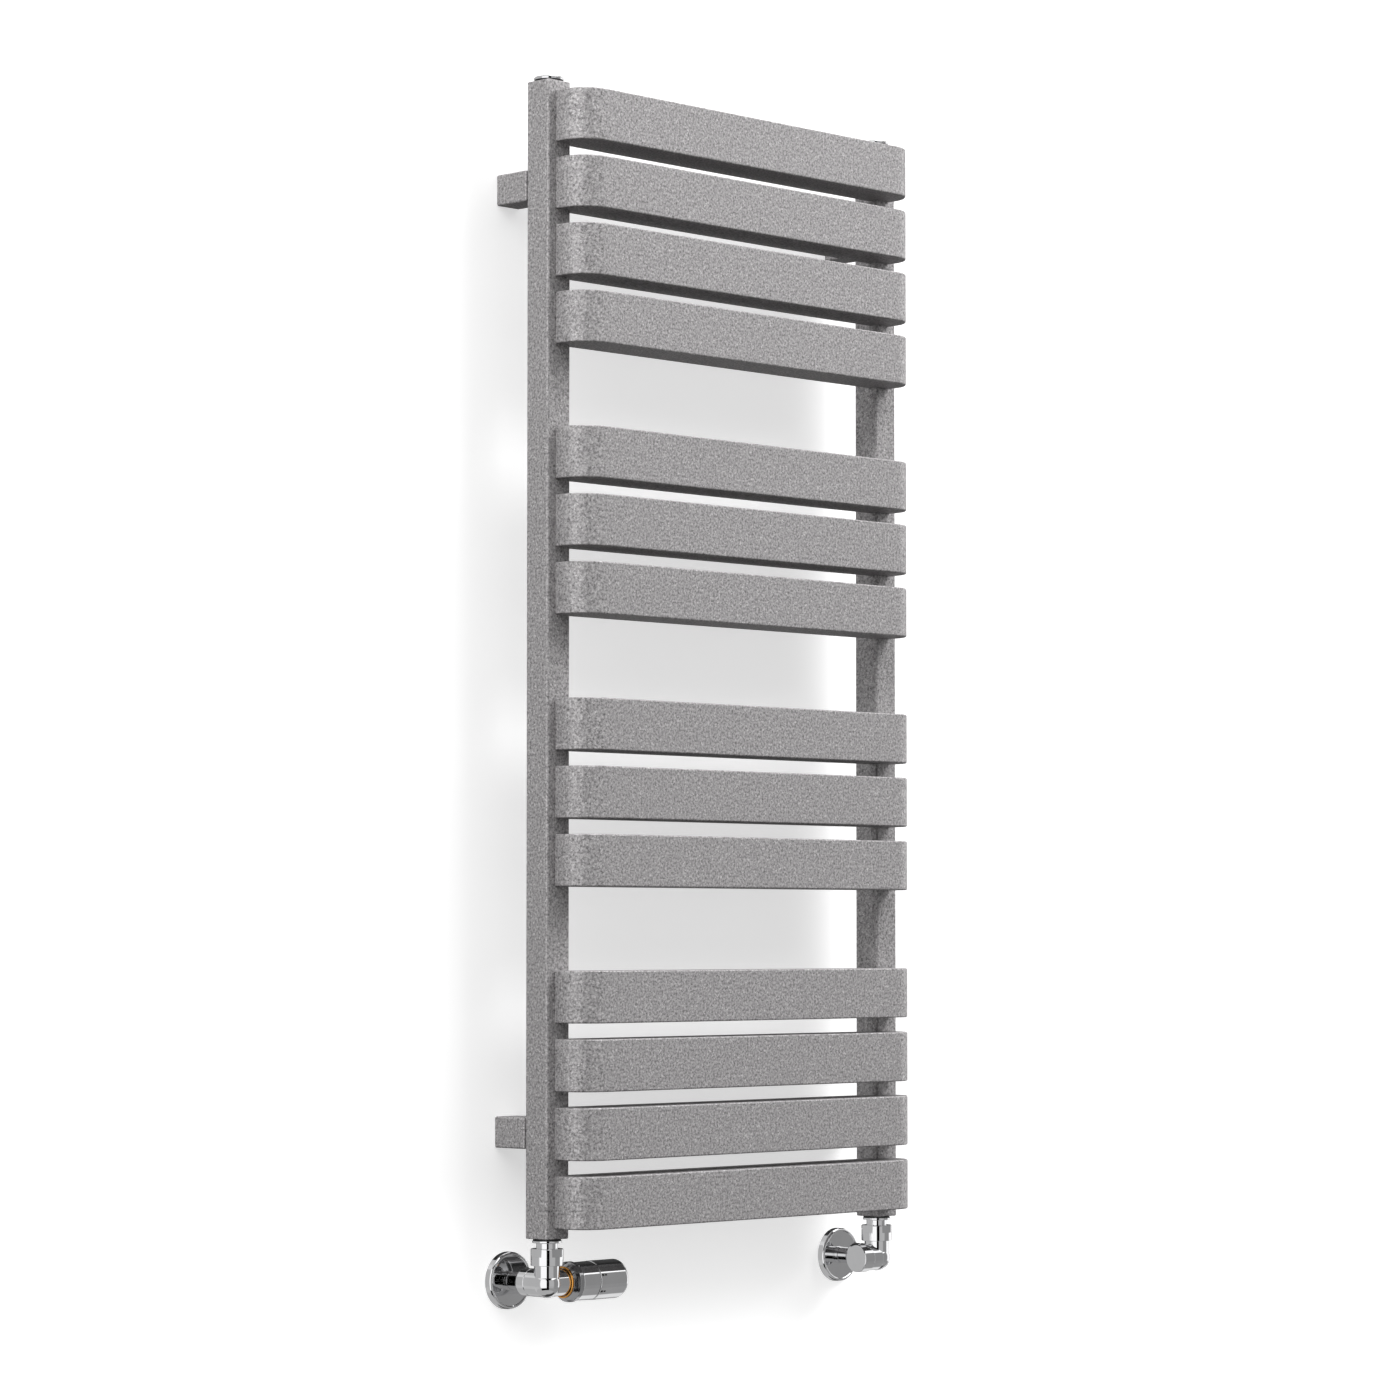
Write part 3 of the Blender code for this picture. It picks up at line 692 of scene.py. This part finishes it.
def valve_body(side, to_port, port_r, port_end, port_bore, neck_end):
    """An elbow with a round body upwards, an arm to the wall, and a port with a neck for the valve."""
    place = Matrix.Translation((AXIS_X[side], TUBE_Y, VALVE_Z))
    to_wall = TO_WALL[side]
    top = COLLECTOR_LOW - TAIL_LENGTH - GAP - VALVE_Z
    arm_bore = BORE_R - 0.4 * MM
    beyond = 20 * MM
    cuts = (
        ("UNION", BODY_R, -3 * MM, top, place),
        ("UNION", ARM_R, -2 * MM, PIPE_END, to_wall),
        ("UNION", THREAD_R, 2 * MM, PIPE_END + 8 * MM, to_wall),
        ("UNION", port_r, -1 * MM, port_end, to_port),
        ("UNION", PORT_NECK_R, 1 * MM, neck_end, to_port),
        ("DIFFERENCE", BORE_R, -2.2 * MM, top + 5 * MM, place),
        ("DIFFERENCE", arm_bore, -1.3 * MM, PIPE_END + beyond, to_wall),
        ("DIFFERENCE", port_bore, -0.6 * MM, port_end + beyond, to_port),
    )
    steps = []
    for number, (operation, radius, low, high, axis) in enumerate(cuts):
        # A different turn for each rod, so that no two of them share an edge.
        turn = Matrix.Rotation(math.radians(0.7 + 0.4 * number), 4, "Z")
        steps.append((operation, rod(radius, low, high, axis @ turn)))
    mesh = combined(ball(ELBOW_R, place), steps)
    mesh.shade_smooth()
    mesh.set_sharp_from_angle(angle=math.radians(BODY_SHARP_ANGLE))
    stand_for(added(f"valve_body_{side}_skin", mesh), "chrome", f"valve_body_{side}")


def valve_bodies():
    """The head screws onto the left body's port. The cap's neck stands out of the right one's."""
    valve_body(
        "left", HEAD_AXIS, port_r=12.8 * MM, port_end=PORT_END, port_bore=8.3 * MM, neck_end=17 * MM
    )
    valve_body(
        "right", CAP_AXIS, port_r=13.1 * MM, port_end=CAP_START, port_bore=5 * MM, neck_end=23 * MM
    )


# ---------------------------------------------------------------- thermostatic head and lockshield cap

COLLAR_START = 21.6 * MM
COLLAR_END = 32 * MM
HANDLE_START = 55 * MM
HANDLE_END = 93.5 * MM
COLLAR_R = 19.4 * MM
SHOULDER_END = 26.8 * MM
HEAD_R = 18.8 * MM
SPINDLE_HOLE_R = 3 * MM
STEM_R = 12.4 * MM
MARK_DASHES = ((56.0 * MM, 59.0 * MM, 2.2 * MM), (60.0 * MM, 62.6 * MM, 1.7 * MM))
MARK_HALF_THICK = 0.05 * MM
MARK_STEPS = 4


def thermostatic_head():
    """The ring, the collar nut, the base and the handle, from the valve outwards."""
    ring_middle, ring_r = 14.2 * MM, 0.9 * MM
    ring_at = COLLAR_START - GAP - ring_r
    ring = [(ring_middle + x, ring_at + y, 0) for x, y in arc(0, 0, ring_r, 90, -255, 23)]
    turned("head_ring", ring, "copper", HEAD_AXIS)

    collar = [
        (STEM_R + GAP, COLLAR_END, 0),
        (COLLAR_R, COLLAR_END, 0.6 * MM),
        (COLLAR_R, SHOULDER_END, 1 * MM),
        (17.4 * MM, 24 * MM, 12 * MM),
        (15.2 * MM, COLLAR_START, 0.3 * MM),
        (STEM_R + GAP, COLLAR_START, 0),
    ]
    collar_skin = turned("head_collar", collar, "chrome", HEAD_AXIS)
    collar_skin.data.materials[0] = SATIN

    spigot_r = 15 * MM
    spigot_bore = spigot_r - 2.5 * MM
    spigot_end = HANDLE_START + 7 * MM
    lip = HANDLE_START - 0.7 * MM
    base = [
        (spigot_bore, spigot_end, 0),
        (spigot_r, spigot_end, 0.5 * MM),
        (spigot_r, lip, 0),
        (HEAD_R - 0.2 * MM, lip, 0.6 * MM),
        (HEAD_R - 0.5 * MM, COLLAR_END + GAP, 1.2 * MM),
        (STEM_R, COLLAR_END + GAP, 0),
        (STEM_R, PORT_END + GAP, 0),
        (SPINDLE_HOLE_R, PORT_END + GAP, 0),
        (SPINDLE_HOLE_R, COLLAR_END, 0),
        (spigot_bore, COLLAR_END + 2 * MM, 0),
    ]
    turned("head_base", base, "chrome", HEAD_AXIS)

    bore, skin = 15.3 * MM, 2 * MM
    handle = [
        (0, HANDLE_END, 0),
        (HEAD_R, HANDLE_END, 5 * MM),
        (HEAD_R, HANDLE_START, 0.7 * MM),
        (bore, HANDLE_START, 0.1 * MM),
        (bore, HANDLE_END - skin, 3 * MM),
        (0, HANDLE_END - skin, 0),
    ]
    turned("head_handle", handle, "chrome", HEAD_AXIS, closed=False)


def dash(bearing, start, end, width, first):
    """A thin patch of paint that follows the handle's round side. Its vertices count from first."""
    verts = []
    half_turn = width / 2 / HEAD_R
    for radius in (HEAD_R - MARK_HALF_THICK, HEAD_R + MARK_HALF_THICK):
        for along in (start, end):
            for k in range(MARK_STEPS + 1):
                a = bearing - half_turn + 2 * half_turn * k / MARK_STEPS
                x = AXIS_X["left"] + along
                verts.append((x, TUBE_Y - radius * math.cos(a), VALVE_Z + radius * math.sin(a)))

    def face(*corners):
        row_length = MARK_STEPS + 1
        return tuple(first + (2 * layer + row) * row_length + k for layer, row, k in corners)

    faces = []
    for k in range(MARK_STEPS):
        for layer in (0, 1):
            faces.append(face((layer, 0, k), (layer, 0, k + 1), (layer, 1, k + 1), (layer, 1, k)))
        for row in (0, 1):
            faces.append(face((0, row, k), (0, row, k + 1), (1, row, k + 1), (1, row, k)))
    for k in (0, MARK_STEPS):
        faces.append(face((0, 0, k), (0, 1, k), (1, 1, k), (1, 0, k)))
    return verts, faces


def handle_marks():
    """Pairs of short painted dashes round the handle, in place of a scale."""
    for number in range(6):
        bearing = math.radians(18.3 + 50.3 * (number - 2))
        verts, faces = [], []
        for start, end, width in MARK_DASHES:
            more_verts, more_faces = dash(bearing, start, end, width, len(verts))
            verts += more_verts
            faces += more_faces
        mark = add_piece(f"handle_mark_{number + 1}", verts, faces, weighted=False)
        mark.data.materials.append(PAINT)
        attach(mark, "handle")


def lockshield_cap():
    """The plain cap over the lockshield spindle."""
    start, end = CAP_START + GAP, 31.6 * MM
    radius, skin = 13.9 * MM, 1.5 * MM
    profile = [
        (0, end, 0),
        (radius, end, 1.2 * MM),
        (radius, start, 0.4 * MM),
        (radius - skin, start, 0),
        (radius - skin, end - skin, 0),
        (0, end - skin, 0),
    ]
    turned("lockshield_cap", profile, "chrome", CAP_AXIS, closed=False)


# ---------------------------------------------------------------- CAD nodes that stay


def finish_cad_nodes():
    """Every CAD node that still shows gets its finish, with its vertices joined and round faces smooth."""
    for node in NODES.values():
        if node.hide_render:
            continue
        finish = node.data.materials[0].name.split(".")[0]
        node.data.materials.clear()
        node.data.materials.append(FINISH[finish])
        if "custom_normal" in node.data.attributes:
            node.data.attributes.remove(node.data.attributes["custom_normal"])
        node.data.shade_smooth()
        weld = node.modifiers.new("weld", "WELD")
        weld.merge_threshold = 1e-6
        split = node.modifiers.new("sharp_edges", "EDGE_SPLIT")
        split.split_angle = math.radians(35)


# ---------------------------------------------------------------- studio

FLOOR_Z = -0.3
WALL_LIFT = 0.56
WHITE = (1, 1, 1, 1)


def stage_plane(name, corners):
    """A plain white surface that only the camera sees. It takes soft shadow and lights nothing."""
    mesh = bpy.data.meshes.new(name)
    mesh.from_pydata(corners, [], [(0, 1, 2, 3)])
    obj = added(name, mesh)
    made = Shader(f"{name}_white")
    made.set(Base_Color=(0.6, 0.6, 0.6, 1), Roughness=0.9, Specular_IOR_Level=0.0)
    made.set(Emission_Color=WHITE, Emission_Strength=WALL_LIFT)
    mesh.materials.append(made.material)
    obj.visible_diffuse = False
    obj.visible_glossy = False
    obj.visible_transmission = False
    obj.visible_shadow = False
    return made


def studio_floor():
    """The ground below the fittings, as bright as the wall above it."""
    reach = 8
    corners = [(-reach, -reach), (reach, -reach), (reach, reach), (-reach, reach)]
    stage_plane("studio_floor", [(x, y, FLOOR_Z) for x, y in corners])


def studio_wall():
    """The wall behind, with a painted glow that makes it brighter near the floor, and clear from its back
    so that it hides nothing.
    """
    reach, high = 4, 3
    corners = [(-reach, FLOOR_Z), (reach, FLOOR_Z), (reach, high), (-reach, high)]
    made = stage_plane("studio_wall", [(x, 0, z) for x, z in corners])
    place = made.node("ShaderNodeSeparateXYZ", Vector=made.place)
    above_floor = made.maths("SUBTRACT", place.outputs["Z"], FLOOR_Z)
    # Painted light: the wall's glow rises near the floor, standing in for light thrown up from the floor.
    made.set(Emission_Strength=made.ramp(above_floor, [(0.14, 0.84), (0.36, WALL_LIFT)]))
    from_back = made.node("ShaderNodeNewGeometry").outputs["Backfacing"]
    clear = made.node("ShaderNodeBsdfTransparent").outputs[0]
    output = made.tree.nodes["Material Output"]
    made.feed(output.inputs["Surface"], made.choose(from_back, made.surface.outputs[0], clear))


# Brightness against bearing (0 faces the room, -90 is left of the wall, 90 is right of it).
SOFT_ROOM = (
    (-180, 0.05), (-120, 0.06), (-95, 0.26), (-50, 0.16), (-30, 0.12),
    (20, 0.16), (50, 0.80), (115, 0.90), (140, 0.06), (180, 0.05),
)
SOFT_HIGH = (
    (-180, 0.4), (-120, 0.5), (-90, 1.1), (-50, 1.1), (-20, 1.6),
    (10, 2.4), (80, 2.4), (110, 1.0), (140, 0.5), (180, 0.4),
)
MIRRORED_ROOM = (
    (-180, 0.42), (-104, 0.42), (-96, 1.0), (-47, 1.0), (-46, 0.0),
    (-27, 0.0), (-25, 0.42), (12, 0.42), (20, 0.24), (58, 0.24),
    (63, 1.0), (106, 1.0), (114, 0.05), (158, 0.05), (172, 0.42),
    (180, 0.42),
)
# Mirrors see a bright strip above the room, then a dark one, then the ceiling. Below the room they
# see its lower part, its foot and its floor.
MIRRORED_STRIP = (
    (-180, 0.5), (-60, 1.0), (-46, 0.0), (-10, 0.0), (10, 1.3),
    (68, 1.3), (76, 0.04), (158, 0.04), (180, 0.4),
)
MIRRORED_HIGH = ((-180, 0.5), (-90, 0.5), (-60, 0.02), (180, 0.02))
MIRRORED_TOP = (
    (-180, 0.4), (-110, 0.4), (-80, 0.8), (-50, 0.6), (-20, 2.2),
    (90, 2.2), (120, 0.4), (180, 0.4),
)
MIRRORED_LOW = (
    (-180, 0.5), (-102, 0.45), (-96, 1.0), (-47, 1.0), (-46, 0.0),
    (-27, 0.0), (-25, 0.38), (12, 0.38), (24, 0.25), (92, 0.27),
    (98, 0.7), (122, 0.7), (132, 0.28), (172, 0.4), (180, 0.5),
)
MIRRORED_FOOT = (
    (-180, 0.4), (-102, 0.4), (-96, 0.0), (-25, 0.0), (-20, 0.3),
    (92, 0.27), (98, 0.7), (124, 0.7), (132, 0.5), (172, 0.4),
    (180, 0.4),
)
MIRRORED_FLOOR = ((-180, 0.4), (40, 0.4), (70, 0.04), (160, 0.04), (180, 0.4))
SOFT_POWER = 1.3
SOFT_FLOOR = 0.02
MIRRORED_POWER = 1.25
BACKDROP_POWER = 1.15


def studio_light():
    """
    Softboxes to the left and right with a narrow dark gap, a grey room and a bright ceiling. Matt and
    mirrored surfaces each get their own brightness of the same room, and the camera sees plain white.
    """
    world = bpy.data.worlds.new("studio")
    bpy.context.scene.world = world
    world.use_nodes = True
    sky = Nodes(world.node_tree)
    direction = sky.node("ShaderNodeTexCoord").outputs["Generated"]
    x, y, z = sky.node("ShaderNodeSeparateXYZ", Vector=direction).outputs
    bearing = sky.maths("ARCTAN2", x, sky.maths("MULTIPLY", y, -1.0))
    around = sky.maths("ADD", sky.maths("DIVIDE", bearing, 2 * math.pi), 0.5)
    height = sky.maths("ADD", sky.maths("DIVIDE", sky.maths("ARCSINE", z), math.pi), 0.5)

    def upwards(low, high, below, above):
        """From one brightness below the low angle to the other above the high one."""
        factor = sky.ramp(height, [(0, 0), (low / 180 + 0.5, 0), (high / 180 + 0.5, 1), (1, 1)])
        return sky.mix(factor, below, above)

    def round_room(stops):
        return sky.ramp(around, [(degrees / 360 + 0.5, bright) for degrees, bright in stops])

    soft = upwards(25, 50, round_room(SOFT_ROOM), round_room(SOFT_HIGH))
    soft = upwards(-25, 0, SOFT_FLOOR, soft)
    mirrored = upwards(28, 30, round_room(MIRRORED_ROOM), round_room(MIRRORED_STRIP))
    mirrored = upwards(38, 40, mirrored, round_room(MIRRORED_HIGH))
    mirrored = upwards(47, 52, mirrored, round_room(MIRRORED_TOP))
    mirrored = upwards(-20, -16, round_room(MIRRORED_LOW), mirrored)
    mirrored = upwards(-33, -31, round_room(MIRRORED_FOOT), mirrored)
    mirrored = upwards(-51, -48, round_room(MIRRORED_FLOOR), mirrored)

    def background(light, power):
        return sky.node("ShaderNodeBackground", Color=light, Strength=power).outputs[0]

    rays = sky.node("ShaderNodeLightPath").outputs
    shader = background(soft, SOFT_POWER)
    shader = sky.choose(rays["Is Glossy Ray"], shader, background(mirrored, MIRRORED_POWER))
    shader = sky.choose(rays["Is Camera Ray"], shader, background(WHITE, BACKDROP_POWER))
    sky.feed(sky.tree.nodes["World Output"].inputs["Surface"], shader)


LAMP_TARGET = Vector((0, 0, 0.6))


def lamp(name, place, size, power):
    """A big soft light aimed at the radiator, which mirrors don't see. Its light fades with distance."""
    data = bpy.data.lights.new(name, "AREA")
    data.shape = "SQUARE"
    data.size = size
    data.energy = power
    obj = added(name, data)
    obj.location = place
    aim = LAMP_TARGET - obj.location
    obj.rotation_euler = aim.to_track_quat("-Z", "Y").to_euler()
    obj.visible_glossy = False


def lamps():
    """One from the left, one from the right and a weaker one from behind."""
    lamp("key_light", (-2.7, -0.6, 2.6), 2.2, 108)
    lamp("fill_light", (1.8, -1.9, 2.7), 2.2, 120)
    lamp("back_light", (0.8, 3.0, 2.6), 1.8, 75)


def camera():
    """From the left, a little above the valves, looking slightly up."""
    data = bpy.data.cameras.new("camera")
    data.sensor_width = 36
    data.lens = 110.11
    data.shift_y = 0.03
    data.clip_end = 60
    obj = added("camera", data)
    obj.location = (-3.06965, -3.01536, 0.28783)
    obj.rotation_euler = (math.radians(90 + 2.596), 0, math.radians(-45.814))
    bpy.context.scene.camera = obj


bars()
collectors()
bracket_sleeves()
top_fittings()
tails()
union_nuts()
pipe_fittings()
valve_bodies()
thermostatic_head()
handle_marks()
lockshield_cap()
finish_cad_nodes()
studio_wall()
studio_floor()
studio_light()
lamps()
camera()
bpy.context.scene.view_settings.view_transform = "Standard"
